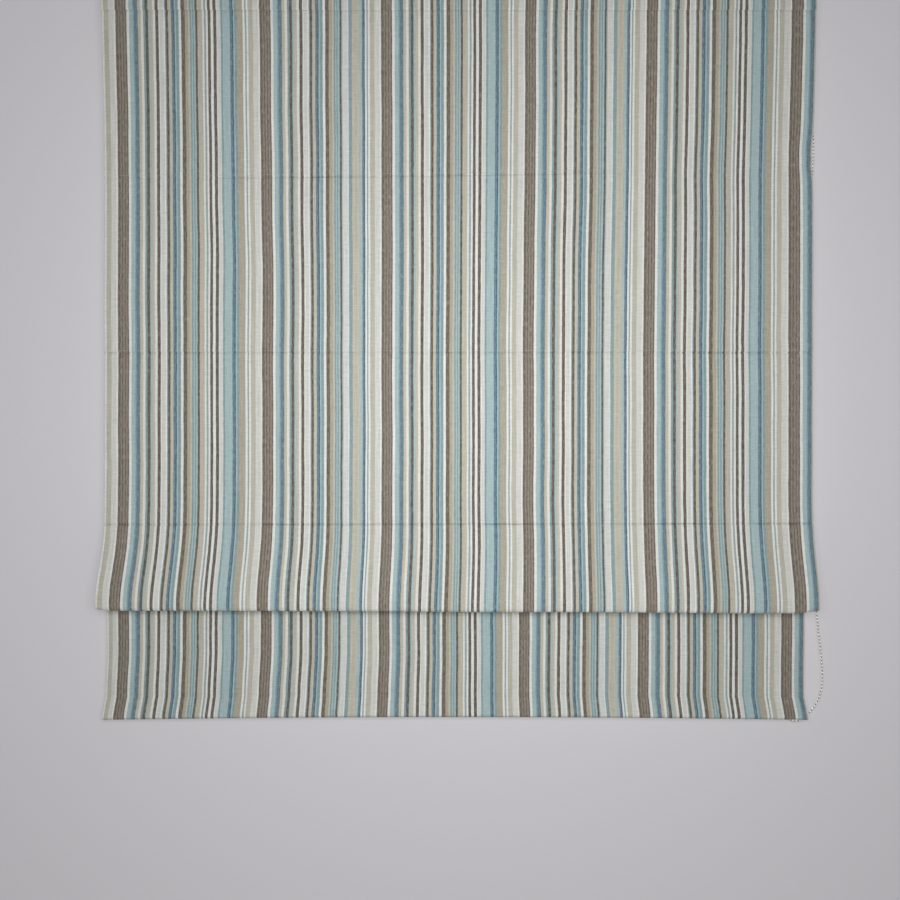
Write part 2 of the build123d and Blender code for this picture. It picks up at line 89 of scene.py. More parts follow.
def grained(name, light, dark, grain, relief, gloss, stretch=(1, 1, 1), **constants):
    """A material whose colour, gloss and relief vary with one grain. Grain and relief are in millimetres."""
    made, tree, shader = start_material(name, **constants)
    place = add_node(tree, "ShaderNodeTexCoord")
    scale = [1 / (grain * mm * share) for share in stretch]
    laid = add_node(tree, "ShaderNodeMapping", {"Vector": place.outputs["Object"], "Scale": scale})
    speck = add_node(tree, "ShaderNodeTexNoise",
                     {"Vector": laid.outputs["Vector"], "Scale": 1.0, "Detail": 4.0, "Roughness": 0.6})
    tint = add_node(tree, "ShaderNodeMix", {0: speck.outputs["Fac"], 6: linear(dark), 7: linear(light)},
                    data_type="RGBA")
    sheen = add_node(tree, "ShaderNodeMapRange",
                     {"Value": speck.outputs["Fac"], "To Min": gloss[0], "To Max": gloss[1]})
    rise = add_node(tree, "ShaderNodeBump",
                    {"Height": speck.outputs["Fac"], "Strength": 0.5, "Distance": relief * mm})
    tree.links.new(tint.outputs[2], shader.inputs["Base Color"])
    tree.links.new(sheen.outputs["Result"], shader.inputs["Roughness"])
    tree.links.new(rise.outputs["Normal"], shader.inputs["Normal"])
    return made


def finish_nodes(material, *names):
    """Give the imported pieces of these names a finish."""
    for name in names:
        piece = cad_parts[name].data
        piece.materials.clear()
        piece.materials.append(material)


# Powder coat: baked polymer over aluminium, satin, with the faint orange peel of a sprayed coat.
powder_coat = grained("white_powder_coat", "#eeeeec", "#e4e4e1", grain=1.2, relief=0.03, gloss=(0.34, 0.46))
finish_nodes(powder_coat, "headrail")
# Zinc plate: bright dip on rolled strip, with soft clouds and the strip's rolling lines along it.
zinc_plate = grained("zinc_plated_steel", "#c4c8cb", "#9a9fa4", grain=2.5, relief=0.02, gloss=(0.28, 0.48),
                     stretch=(4, 1, 1), Metallic=1.0)
finish_nodes(zinc_plate, "bracket_left", "bracket_centre", "bracket_right")


# Chain drive and idle end
# The end cap, the drive's housing and its cover are injection moulded and push into the rail's ends.
# The wheel, the bush, the spools and the cradles are acetal, which runs on itself without oil.
# Moulded ABS: a fine spark eroded grain that scatters the highlight.
moulded_abs = grained("moulded_abs", "#ecebe7", "#e0dfda", grain=0.7, relief=0.02, gloss=(0.42, 0.56))
finish_nodes(moulded_abs, "idle_end_cap", "drive_housing", "drive_cover",
             "hem_bar_cap_left", "hem_bar_cap_right")
# Acetal: waxy and slightly milky, with a soft even shine.
acetal = grained("natural_acetal", "#e6e4dd", "#d6d3ca", grain=1.5, relief=0.015, gloss=(0.3, 0.42))
finish_nodes(acetal, "chain_wheel", "idle_bush", "cord_spools", "spool_cradles")
# Drawn aluminium: mill finish, with the die's long fine lines along the bar.
drawn_aluminium = grained("drawn_aluminium", "#d3d5d7", "#a9adb1", grain=0.6, relief=0.01,
                          gloss=(0.26, 0.42), stretch=(80, 1, 1), Metallic=1.0)
finish_nodes(drawn_aluminium, "drive_shaft", "hem_bar")
# Spring strip: bright rolled steel, its lines round the band.
spring_strip = grained("bright_spring_steel", "#b4b6ba", "#7e8288", grain=0.4, relief=0.008,
                       gloss=(0.22, 0.36), stretch=(1, 8, 8), Metallic=1.0)
finish_nodes(spring_strip, "brake_spring")


# Hook and loop tapes
# One woven nylon tape is glued along the rail's front wall, the other is sewn to the lining's top edge.
# Pressed together they hold the cloth on the rail.
# Pile of nylon loops: dull, and bristly at about half a millimetre, drawn at one.
nylon_pile = grained("nylon_tape_pile", "#e9e9e6", "#c6c6c2", grain=1.0, relief=0.5, gloss=(0.75, 0.95),
                     Sheen_Weight=0.3)
finish_nodes(nylon_pile, "hook_tape", "loop_tape")


# Face cloth
# Yarn dyed cotton, woven with its stripes along the warp and sewn from one length: the sides are turned
# back and hemmed, rod pockets are stitched through at three levels, and the hem holds a flat bar.
# It is three pieces here only because the lift moves the lower part: upper, return of the fold, and hem.
face_thickness = 0.8 * mm
lining_thickness = 0.6 * mm
sheet_gap = 0.3 * mm
half_width = 600 * mm
side_hem = 19 * mm
turn_radius = 0.25 * mm
pocket_half = 2.65 * mm
pocket_depth = 13 * mm
kink_rise = 4.5 * mm
top_stitch_drop = 26 * mm
stitch_rise = [2.7 * mm, 2.7 * mm, 8 * mm]
fold_lean = 35.8 * mm
fold_width = 17 * mm
fold_plumb = 30 * mm
ridge_half = 6 * mm
hem_height = 34 * mm
hem_lean = 11 * mm
hem_ease = 0.7 * mm
hem_pocket = 3.9 * mm + 2 * hem_ease

rods = [
    sum((Vector(corner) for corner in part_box(f"rod_{number}")), Vector()) / 2
    for number in (1, 2, 3, 4)
]
upper_low, upper_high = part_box("face_fabric_upper")
top_z = upper_high[2]
top_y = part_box("loop_tape")[0][1] - lining_thickness
rail_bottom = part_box("headrail")[0][2]
layer_y = rods[0].y + pocket_half - pocket_depth
fold_y = layer_y - fold_lean
fold_bottom = upper_low[2] + face_thickness
ridge_y = rods[3].y
ridge_z = rods[3].z + pocket_half - pocket_depth
lower_y = ridge_y + ridge_half
hem_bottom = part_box("face_fabric_hem")[0][2] + face_thickness
hem_top = hem_bottom + hem_height
hem_y = lower_y - hem_lean
first_kink = rods[0].z + pocket_half + kink_rise
fold_kink = rods[2].z - pocket_half - kink_rise

top_stitch_z = top_z - top_stitch_drop
sewn_levels = [top_stitch_z, *(rod.z for rod in rods[:3]), ridge_z, hem_top, hem_bottom]
rod_line_rise = [18.5 * mm, 1 * mm, 1.5 * mm]
rod_line_drop = [1.2 * mm, 4 * mm, 0]


def rod_line(number, x):
    """The level of a rod's crease on the face at x. The first runs up to the right."""
    from_left = (x + half_width) / (2 * half_width)
    return rods[number].z - rod_line_drop[number] + rod_line_rise[number] * from_left ** 2


def ease(value, start, end):
    """A smooth step from 0 at start to 1 at end."""
    share = min(1, max(0, (value - start) / (end - start)))
    return share * share * (3 - 2 * share)


def bell(value, width):
    """A smooth bump of height 1 and the given half width."""
    return exp(-(value / width) ** 2)


def wander(x, z, across, down, seed):
    """Smooth noise between about -1 and 1, with this many swells to the metre across and down."""
    return noise.noise((x * across, seed, z * down))


# How far the stripes move to the side, and on which part of the cloth.
stripe_stray = 0.9 * mm
skew_sway = 4 * mm
skew_middle = 240 * mm
skew_reach = 230 * mm
skew_top = rods[0].z + 60 * mm
skew_foot = rods[1].z - 20 * mm
left_sway = 2 * mm
left_middle = -326 * mm
left_reach = 140 * mm
left_top = rods[0].z - 60 * mm
left_foot = rods[0].z - 160 * mm
swing_height = 80 * mm
hem_swing = 2.2 * mm
swing_right = 60 * mm
swing_left = -120 * mm
fold_sway = 2.6 * mm
foot_sway = 3.3 * mm
foot_front = layer_y - 1.5 * mm
foot_drop = 10 * mm
foot_tuck = 4 * mm
tuck_reach = 24 * mm
hem_flare_share = 0.004
hem_flare_rise = 8 * mm
top_flare_share = 0.0022
top_flare_start = top_stitch_z - 1 * mm
top_flare_end = top_stitch_z + 2 * mm
side_swell = 2.5 * mm
swell_reach = 60 * mm
side_nip = 3.5 * mm
nip_rise = 38 * mm


def sideways(x, y, z):
    """How far the stripes wander to the side: to the left in the fold, and further on the part below it.

    The right edge swells a little and is nipped above the first rod. Below the fold the left edge is
    tucked in. The hem and the band above the top stitching flare to both sides.
    """
    stray = stripe_stray * wander(x, z, across=7, down=9, seed=3.1)
    skew = skew_sway * bell(x - skew_middle, skew_reach) * ease(z, skew_top, skew_foot)
    at_hem = ease(z, hem_top + swing_height, hem_top)
    lean = left_sway * bell(x - left_middle, left_reach)
    lean *= ease(z, left_top, left_foot) * (1 - at_hem)
    lean -= hem_swing * ease(x, swing_right, swing_left) * at_hem
    in_fold = fold_sway * ease(z, fold_kink, fold_bottom)
    past_ridge = ease(y, foot_front, ridge_y - ridge_half) * ease(z, fold_kink, fold_kink - foot_drop)
    tuck = foot_tuck * ease(x, -half_width + tuck_reach, -half_width)
    flare = hem_flare_share * x * ease(z, hem_top + hem_flare_rise, hem_bottom)
    flare += top_flare_share * x * ease(z, top_flare_start, top_flare_end)
    nip = side_nip * bell(z - rods[0].z - nip_rise, nip_rise)
    swell = (side_swell - nip) * ease(x, half_width - swell_reach, half_width)
    edges = (1 - past_ridge) * swell + past_ridge * (tuck - foot_sway)
    return stray + lean - skew - in_fold + flare + edges


# The crease that each rod pocket's seam presses into the face, and the soft shoulder over it.
crease_zone = 40 * mm
crease_drop = 1.5 * mm
crease_depth = 3.2 * mm
crease_half = 1.6 * mm
pinch_mean = 0.75
pinch_spread = 0.55
faint_share = 0.35
faint_left = -450 * mm
faint_right = -330 * mm
shoulder_rise = 5 * mm
shoulder_height = 1.0 * mm
shoulder_half = 7 * mm
pucker_depth = 0.5 * mm
pucker_reach = 14 * mm


def crease(x, z):
    """How far the face is nipped in at the rod pockets. The first crease is faint at the left."""
    depth = 0
    for number in range(3):
        above = z - rod_line(number, x)
        if abs(above) < crease_zone:
            pinch = pinch_mean + pinch_spread * wander(x, 0, across=9, down=0, seed=9.3 + number)
            if number == 0:
                pinch *= faint_share + (1 - faint_share) * ease(x, faint_left, faint_right)
            over_stitch = above - stitch_rise[number]
            depth += crease_depth * pinch * bell(above + crease_drop, crease_half)
            depth -= shoulder_height * pinch * bell(over_stitch - shoulder_rise, shoulder_half)
            depth += pucker_depth * wander(x, z, across=55, down=30, seed=2.2) * bell(above, pucker_reach)
    return depth


# How far the cloth stands out of its section: slack between the seams, the wavy foot of the fold, the
# sagging hem, and the grooves of the top and the hem stitching.
seam_reach = 60 * mm
billow_depth = 2.4 * mm
ripple_depth = 0.8 * mm
face_back = layer_y + 10 * mm
fold_zone_top = fold_bottom + 60 * mm
fold_zone_foot = fold_bottom + 10 * mm
fold_zone_back = fold_y + 28 * mm
fold_zone_front = fold_y + 20 * mm
fold_wave = 2.0 * mm
foot_fall = 1.2 * mm
foot_slope = 2.4 * mm
foot_wave = 0.8 * mm
left_lift = 1.8 * mm
left_lift_reach = 18 * mm
right_lift = 3.5 * mm
right_lift_reach = 35 * mm
hem_side_drop = 4.5 * mm
hem_middle_rise = 1.0 * mm
hem_drop_start = hem_top + 30 * mm
hem_groove = 1.2 * mm
hem_groove_half = 2.2 * mm
top_groove = 1.7 * mm
top_groove_half = 1.4 * mm


def drape(x, y, z):
    """How far the hung cloth strays from its straight section at a point, as an offset in metres."""
    to_seam = min(abs(z - level) for level in sewn_levels)
    slack = 1 - bell(to_seam, seam_reach)
    billow = billow_depth * slack * wander(x, z, across=3.4, down=3.0, seed=0.7)
    billow += ripple_depth * slack * wander(x, z, across=11, down=4.5, seed=5.2)
    if y < face_back:
        billow += crease(x, z)
    in_fold = ease(z, fold_zone_top, fold_zone_foot) * ease(y, fold_zone_back, fold_zone_front)
    tilt = -foot_fall - foot_slope * x / half_width
    tilt += foot_wave * wander(x, 0, across=4.2, down=0, seed=7.7)
    tilt += left_lift * ease(x, left_lift_reach - half_width, -half_width)
    tilt += right_lift * ease(x, half_width - right_lift_reach, half_width)
    billow += in_fold * fold_wave * wander(x, 0, across=6.1, down=0, seed=4.4)
    hem_drop = hem_side_drop * (x / half_width) ** 2 - hem_middle_rise
    hem_drop *= ease(z, hem_drop_start, hem_bottom)
    billow -= hem_drop * hem_lean / hem_height
    billow += hem_groove * bell(z - hem_top, hem_groove_half)
    billow += top_groove * bell(z - top_stitch_z, top_groove_half)
    return Vector((sideways(x, y, z), billow, in_fold * tilt - hem_drop))


def rounded_line(corners, bends, steps=8):
    """The section line through the corners (y, z), each inner corner rounded to its bend radius."""
    line = [Vector(corners[0])]
    for before, corner, after, bend in zip(corners, corners[1:], corners[2:], bends):
        middle = Vector(corner)
        to_before = (Vector(before) - middle).normalized()
        to_after = (Vector(after) - middle).normalized()
        reach = bend / tan(to_before.angle(to_after) / 2)
        for step in range(steps + 1):
            share = step / steps
            line.append(middle + to_before * reach * (1 - share) ** 2 + to_after * reach * share ** 2)
    line.append(Vector(corners[-1]))
    return line


coarse_row = 11 * mm
fine_row = 2.5 * mm
seam_row = fine_row / 4
near_seam = 16 * mm
at_seam = 5 * mm


def rows_along(line):
    """Points down a section line, close together where the cloth is sewn, each with its run from the top."""
    rows = []
    travelled = 0
    for here, there in zip(line, line[1:]):
        run = there - here
        reached = 0
        while reached < run.length - fine_row / 2:
            point = here + run * (reached / run.length)
            rows.append((point, travelled + reached))
            to_seam = min(abs(point.y - level) for level in sewn_levels)
            if to_seam < at_seam:
                reached += seam_row
            else:
                reached += fine_row if to_seam < near_seam else coarse_row
        travelled += run.length
    rows.append((line[-1], travelled))
    return rows


def turned_edge(across):
    """Where a point of the cut width lies: flat in the face, round the side edge or turned back behind."""
    side = 1 if across > 0 else -1
    flat = half_width - turn_radius
    over = abs(across) - flat
    if over <= 0:
        return across, 0
    if over < pi * turn_radius:
        angle = over / turn_radius
        return side * (flat + turn_radius * sin(angle)), turn_radius * (1 - cos(angle))
    return side * (flat - (over - pi * turn_radius)), 2 * turn_radius


def flat_edge(across):
    """The lining lies flat to its edges, a hair behind the face."""
    return across, sheet_gap


def evenly(start, end, pitch):
    """Places from start to end about one pitch apart."""
    count = max(1, round((end - start) / pitch))
    return [start + (end - start) * place / count for place in range(count + 1)]


def make_object(name, mesh, *materials):
    """A new object in the scene from a bmesh, smooth shaded."""
    data = bpy.data.meshes.new(name)
    mesh.to_mesh(data)
    mesh.free()
    for material in materials:
        data.materials.append(material)
    data.shade_smooth()
    made = bpy.data.objects.new(name, data)
    scene.collection.objects.link(made)
    return made


def hang_cloth(name, line, columns, edge, thickness, outward, material, give=None):
    """A sheet of cloth along a section line: a grid laid row by row, draped and given its thickness."""
    rows = rows_along(line)
    mesh = bmesh.new()
    across, down = len(columns) - 1, len(rows) - 1
    bmesh.ops.create_grid(mesh, x_segments=across, y_segments=down, size=0.5)
    flat_places = mesh.loops.layers.uv.new("flat_cloth")
    for vert in mesh.verts:
        column = columns[round((vert.co.x + 0.5) * across)]
        number = round((0.5 - vert.co.y) * down)
        point, run = rows[number]
        tangent = rows[min(number + 1, down)][0] - rows[max(number - 1, 0)][0]
        behind = Vector((-tangent.y, tangent.x)).normalized()
        x, depth = edge(column)
        loose = give(point) if give else 1
        placed = Vector((x, point.x + behind.x * depth, point.y + behind.y * depth))
        vert.co = placed + drape(x, point.x, point.y) * loose
        for loop in vert.link_loops:
            loop[flat_places].uv = (column, run)
    sheet = make_object(name, mesh, material)
    wall = sheet.modifiers.new("thickness", "SOLIDIFY")
    wall.thickness = thickness
    wall.offset = outward
    return sheet, (columns[-1] - columns[0], rows[-1][1])


# Yarns by their dye, and the order of the warp, with each stripe's width in millimetres. Both halves of
# the repeat begin alike, with a pinstriped brown band, and end in a wide and a narrow group.
yarns = {
    "bark": "#675e51", "brown": "#897e72", "umber": "#5c554c", "white": "#e7e7e2", "ash": "#d6d6d0",
    "cream": "#e4e2da", "aqua": "#a5bdbf", "teal": "#849fa3", "blue": "#5f7d8d", "navy": "#446477",
    "mist": "#a9bdbc", "sky": "#94a8ad", "tan": "#c3bdab", "khaki": "#aca693", "sage": "#bbb8a8",
}
first_stripes = [
    ("bark", 4.3), ("brown", 1.9), ("bark", 2.0), ("brown", 3.1), ("bark", 1.8), ("brown", 2.9),
    ("bark", 2.5), ("white", 4.0), ("aqua", 6.4), ("teal", 2.3), ("blue", 6.0), ("tan", 4.8),
    ("cream", 4.3), ("teal", 3.6), ("umber", 4.5), ("mist", 4.0), ("tan", 3.9), ("cream", 4.1),
    ("umber", 5.2), ("white", 1.6), ("ash", 6.8), ("white", 2.4), ("teal", 1.8), ("umber", 4.0),
    ("tan", 5.0), ("blue", 3.5), ("navy", 2.2), ("aqua", 2.0), ("teal", 4.9), ("white", 4.4),
    ("bark", 5.9), ("khaki", 5.3), ("tan", 3.1), ("teal", 2.5), ("aqua", 2.0), ("teal", 2.2),
    ("aqua", 2.8), ("umber", 3.5),
]
wide_group = [
    ("sage", 8.1), ("cream", 3.4), ("sky", 3.0), ("white", 3.0), ("umber", 4.8), ("white", 4.6),
    ("umber", 4.9), ("white", 1.6), ("ash", 5.7), ("teal", 3.5), ("aqua", 12.4), ("blue", 3.4),
    ("navy", 2.3), ("aqua", 1.8), ("teal", 3.9), ("khaki", 10.4), ("white", 3.3), ("sky", 3.0),
    ("white", 2.7), ("sage", 8.0), ("ash", 8.7), ("white", 2.9),
]
narrow_group = [
    ("mist", 1.8), ("ash", 8.3), ("white", 1.6), ("teal", 5.8), ("tan", 4.2), ("sage", 3.6),
    ("tan", 4.2), ("mist", 4.9), ("blue", 3.2), ("navy", 1.9), ("white", 2.8), ("sky", 2.3),
    ("white", 3.2), ("sage", 7.8), ("ash", 8.6), ("white", 3.0),
]
warp = first_stripes + wide_group + first_stripes + narrow_group
repeat = sum(width for _, width in warp) * mm
plan_start = -half_width + 22.5 * mm
weft_yarn = "#d5d3cb"
edge_stray = 0.5 * mm
warp_thread = 1.5 * mm
weft_thread = 2.4 * mm
weft_share = 0.8
weave_relief = 0.25 * mm
stops_per_ramp = 30


def striped_cotton():
    """Yarn dyed cotton: warp stripes from the plan, flecks of the pale weft, slubs and a fine relief."""
    made, tree, shader = start_material(
        "yarn_dyed_cotton", Roughness=0.92, Sheen_Weight=0.1, Sheen_Roughness=0.6)
    flat = add_node(tree, "ShaderNodeUVMap", uv_map="flat_cloth")
    axes = add_node(tree, "ShaderNodeSeparateXYZ", {0: flat.outputs["UV"]})
    # Uneven yarns push the stripes' edges to and fro by less than a millimetre. Slubs thicken the yarns, and
    # the undyed weft shows as short pale flecks between the warp threads. Threads are about half a
    # millimetre apart, too fine to show, so all this is drawn three to five times wider.
    grains = {}
    for part, width, length, detail in (
        ("edge", 7 * mm, 28 * mm, 3.0),
        ("warp_slub", warp_thread, 60 * mm, 3.0),
        ("weft_slub", 14 * mm, weft_thread, 3.0),
        ("fleck", warp_thread, 9 * mm, 4.0),
    ):
        laid = add_node(tree, "ShaderNodeMapping",
                        {"Vector": flat.outputs["UV"], "Scale": (1 / width, 1 / length, 1)})
        grain = add_node(tree, "ShaderNodeTexNoise",
                         {"Vector": laid.outputs[0], "Scale": 1.0, "Detail": detail})
        grains[part] = grain.outputs["Fac"]
    edge_shift = add_node(tree, "ShaderNodeMapRange", {
        "Value": grains["edge"], "To Min": -plan_start - edge_stray, "To Max": -plan_start + edge_stray})
    shifted = add_node(tree, "ShaderNodeMath",
                       {0: axes.outputs["X"], 1: edge_shift.outputs["Result"]}, operation="ADD")
    wrapped = add_node(tree, "ShaderNodeMath", {0: shifted.outputs[0], 1: repeat, 2: 0.0}, operation="WRAP")
    # One ramp holds at most 32 stops, so the stripes of a repeat are spread over several.
    colour = None
    begun = 0
    for first in range(0, len(warp), stops_per_ramp):
        part = warp[first:first + stops_per_ramp]
        span = sum(width for _, width in part) * mm
        share = add_node(tree, "ShaderNodeMapRange",
                         {"Value": wrapped.outputs[0], "From Min": begun, "From Max": begun + span})
        ramp = add_node(tree, "ShaderNodeValToRGB", {"Fac": share.outputs["Result"]})
        ramp.color_ramp.interpolation = "CONSTANT"
        stops = ramp.color_ramp.elements
        stops.remove(stops[1])
        at = 0
        for number, (yarn, width) in enumerate(part):
            stop = stops[0] if number == 0 else stops.new(at / span)
            stop.color = linear(yarns[yarn])
            at += width * mm
        if colour is None:
            colour = ramp.outputs["Color"]
        else:
            past = add_node(tree, "ShaderNodeMath",
                            {0: wrapped.outputs[0], 1: begun}, operation="GREATER_THAN")
            joined = add_node(tree, "ShaderNodeMix", data_type="RGBA", inputs={
                0: past.outputs[0], 6: colour, 7: ramp.outputs["Color"]})
            colour = joined.outputs[2]
        begun += span
    fleck_share = add_node(tree, "ShaderNodeMapRange", {
        "Value": grains["fleck"], "From Min": 0.42, "From Max": 0.75, "To Max": 0.3})
    crossed = add_node(tree, "ShaderNodeMix", data_type="RGBA", inputs={
        0: fleck_share.outputs["Result"], 6: colour, 7: linear(weft_yarn)})
    threads = add_node(tree, "ShaderNodeMath", operation="MULTIPLY_ADD", inputs={
        0: grains["weft_slub"], 1: weft_share, 2: grains["warp_slub"]})
    value = add_node(tree, "ShaderNodeMapRange", {
        "Value": threads.outputs[0], "From Min": 0.5, "From Max": 1.3, "To Min": 0.8, "To Max": 1.2})
    toned = add_node(tree, "ShaderNodeHueSaturation",
                     {"Color": crossed.outputs[2], "Value": value.outputs["Result"]})
    relief = add_node(tree, "ShaderNodeBump",
                      {"Height": threads.outputs[0], "Strength": 0.5, "Distance": weave_relief})
    tree.links.new(toned.outputs["Color"], shader.inputs["Base Color"])
    tree.links.new(relief.outputs["Normal"], shader.inputs["Normal"])
    return made


cotton = striped_cotton()
turned_width = half_width - turn_radius + pi * turn_radius + side_hem
edge_turns = [half_width - turn_radius + pi * turn_radius * share for share in (0.25, 0.5, 0.75)]
column_pitch = 8 * mm
flat_columns = evenly(-half_width + turn_radius, half_width - turn_radius, column_pitch)
turned_columns = evenly(half_width - turn_radius + pi * turn_radius, turned_width, column_pitch)
right_columns = edge_turns + turned_columns
face_columns = [-place for place in reversed(right_columns)] + flat_columns + right_columns

fold_corner = (fold_y + fold_width, fold_bottom)
fold_join = (fold_y + fold_width / 2, fold_bottom)
fold_bend = 7.5 * mm
ridge_bend = 3 * mm
hem_edge_bend = 1.6 * mm
hem_back_share = 0.6
upper_corners = [
    (top_y, top_z), (top_y, rail_bottom), (layer_y, first_kink), (layer_y, fold_kink),
    (fold_y, fold_bottom + fold_plumb), (fold_y, fold_bottom), fold_join,
]
upper_bends = [40 * mm, 60 * mm, 300 * mm, 140 * mm, fold_bend]
return_corners = [fold_join, fold_corner, (ridge_y - ridge_half, ridge_z), (ridge_y, ridge_z)]
return_bends = [fold_bend, ridge_bend]
hem_front = hem_y - hem_ease
hem_corners = [
    (ridge_y, ridge_z), (lower_y, ridge_z), (lower_y, hem_top), (hem_front, hem_bottom),
    (hem_front + hem_pocket, hem_bottom), (lower_y + hem_pocket * hem_back_share, hem_top),
]
hem_bends = [ridge_bend, 6 * mm, hem_edge_bend, hem_edge_bend]

face_upper, face_upper_flat = hang_cloth(
    "face_cloth_upper", rounded_line(upper_corners, upper_bends), face_columns, turned_edge,
    face_thickness, 1, cotton)
face_return, face_return_flat = hang_cloth(
    "face_cloth_return", rounded_line(return_corners, return_bends), face_columns, turned_edge,
    face_thickness, 1, cotton)
face_hem, face_hem_flat = hang_cloth(
    "face_cloth_hem", rounded_line(hem_corners, hem_bends), face_columns, turned_edge,
    face_thickness, 1, cotton)
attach(face_upper, "headrail")
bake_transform(face_return)
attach(face_hem, "hem_section")
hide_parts("face_fabric_upper")
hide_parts("face_fabric_return")
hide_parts("face_fabric_hem")


# Stitching
# Polyester sewing thread in a straight lockstitch: along the top tape, through the three rod pockets,
# and along the top of the hem. Each stitch dips into the cloth at both ends.
stitch_length = 3.2 * mm
stitch_pitch = 4.3 * mm
thread_width = 0.45 * mm
stitch_margin = 4 * mm
stitch_slant = radians(3)
thread = grained("spun_polyester_thread", "#cfcbc0", "#bbb7ac", grain=0.6, relief=0.05, gloss=(0.6, 0.8),
                 stretch=(3, 1, 1), Sheen_Weight=0.2)


def repeated(shape, places):
    """One bmesh with a copy of a small shape at each of the places, given as matrices."""
    pattern = bpy.data.meshes.new("pattern")
    shape.to_mesh(pattern)
    shape.free()
    mesh = bmesh.new()
    for place in places:
        copy = pattern.copy()
        copy.transform(place)
        mesh.from_mesh(copy)
        bpy.data.meshes.remove(copy)
    bpy.data.meshes.remove(pattern)
    return mesh


def stitch_row(name, y, level, body):
    """A row of stitches across the face at the level that a function gives for each place."""
    stitch = bmesh.new()
    size = Matrix.Diagonal((stitch_length / 2, thread_width / 2, thread_width / 2, 1))
    bmesh.ops.create_uvsphere(stitch, u_segments=6, v_segments=4, radius=1, matrix=size)
    spots = []
    for x in evenly(-half_width + stitch_margin, half_width - stitch_margin, stitch_pitch):
        spot = Vector((x, y - face_thickness, level(x))) + drape(x, y, level(x))
        slant = Matrix.Rotation(stitch_slant * wander(x, spot.z, across=90, down=1, seed=1.7), 4, "Y")
        spots.append(Matrix.Translation(spot) @ slant)
    row = make_object(name, repeated(stitch, spots), thread)
    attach(row, body)
    return row


top_row = stitch_row("top_stitching", top_y, lambda x: top_stitch_z, "headrail")
rod_rows = [
    stitch_row(f"rod_stitching_{number + 1}", layer_y,
               lambda x, number=number: rod_line(number, x) + stitch_rise[number], "headrail")
    for number in range(3)
]
hem_row = stitch_row("hem_stitching", lower_y, lambda x: hem_top, "hem_section")


# Lining
# Plain woven cotton sateen, sewn to the face along its sides, twenty millimetres inside each edge.
# At every rod a tuck of it stands back as a pocket; the lowest pocket stands on the ridge of the fold.
# Sateen: close woven and smooth, with a soft sheen and hardly any thread to see.
sateen = grained("cotton_sateen_lining", "#efebe0", "#e2ddcf", grain=1.4, relief=0.15, gloss=(0.8, 0.95),
                 stretch=(1, 1, 6), Sheen_Weight=0.2)
lining_inset = 20 * mm
lining_half = half_width - lining_inset
lining_end_rise = 20 * mm
lining_kink_bend = 20 * mm
pocket_end = layer_y + pocket_depth
pocket_base_bend = 1.2 * mm
pocket_round = pocket_half * 0.96
give_reach = 8 * mm


def pocket_give(point):
    """A rod holds its pocket straight, so the cloth strays less the further back it stands."""
    near_rod = min(abs(point.y - rod.z) for rod in rods[:3]) < 2 * pocket_half
    return max(0, 1 - (point.x - layer_y) / give_reach) if near_rod else 1


tucks = [
    corner for rod in rods[:3] for corner in (
        (layer_y, rod.z + pocket_half), (pocket_end, rod.z + pocket_half),
        (pocket_end, rod.z - pocket_half), (layer_y, rod.z - pocket_half))
]
tuck_bends = [pocket_base_bend, pocket_round, pocket_round, pocket_base_bend] * 3
ridge_tuck = [
    (ridge_y - pocket_half, ridge_z), (ridge_y - pocket_half, ridge_z + pocket_depth),
    (ridge_y + pocket_half, ridge_z + pocket_depth), (ridge_y + pocket_half, ridge_z),
]
lining_columns = evenly(-lining_half, lining_half, column_pitch)
lining_upper, lining_upper_flat = hang_cloth(
    "lining_upper_sheet",
    rounded_line(upper_corners[:3] + tucks + upper_corners[3:],
                 upper_bends[:2] + tuck_bends + [lining_kink_bend] + upper_bends[3:]),
    lining_columns, flat_edge, lining_thickness, -1, sateen, pocket_give)
lining_return, lining_return_flat = hang_cloth(
    "lining_return_sheet", rounded_line(return_corners[:3] + [ridge_tuck[0]], return_bends),
    lining_columns, flat_edge, lining_thickness, -1, sateen)
lining_hem, lining_hem_flat = hang_cloth(
    "lining_hem_sheet",
    rounded_line(ridge_tuck + [(lower_y, ridge_z), (lower_y, hem_top + lining_end_rise)],
                 [pocket_round, pocket_round, pocket_base_bend, ridge_bend]),
    lining_columns, flat_edge, lining_thickness, -1, sateen)
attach(lining_upper, "headrail")
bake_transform(lining_return)
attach(lining_hem, "hem_section")
for sheet, size, node, rest in (
    (lining_upper, lining_upper_flat, "lining_upper", "loop_tape"),
    (lining_return, lining_return_flat, "lining_return", "rod_4"),
    (lining_hem, lining_hem_flat, "lining_hem", "rod_4"),
):
    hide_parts(node)


# Stiffening rods and cord rings
# The rods are pultruded glass fibre, pushed into the pockets. The rings are moulded and hand sewn to the
# pockets' ends, three on each, to lead the lift cords.
# Glass fibre: fine white strands under clear resin, all along the rod.
glass_fibre = grained("pultruded_glass_fibre", "#eceae4", "#d2cfc6", grain=0.5, relief=0.02,
                      gloss=(0.2, 0.34), stretch=(120, 1, 1))
finish_nodes(glass_fibre, "rod_1", "rod_2", "rod_3", "rod_4")
# Clear plastic: moulded polycarbonate, glossy, with the faintest clouding.
clear_plastic = grained("clear_polycarbonate", "#f2f4f4", "#e6e9ea", grain=2.0, relief=0.005,
                        gloss=(0.06, 0.14), Transmission_Weight=0.55, IOR=1.58)
ring_radius = 5 * mm
ring_wire = 1 * mm
ring_turns = 28
seam_gap = 0.001 * mm
cord_places = [-500 * mm, 0, 500 * mm]
cord_y = -15 * mm


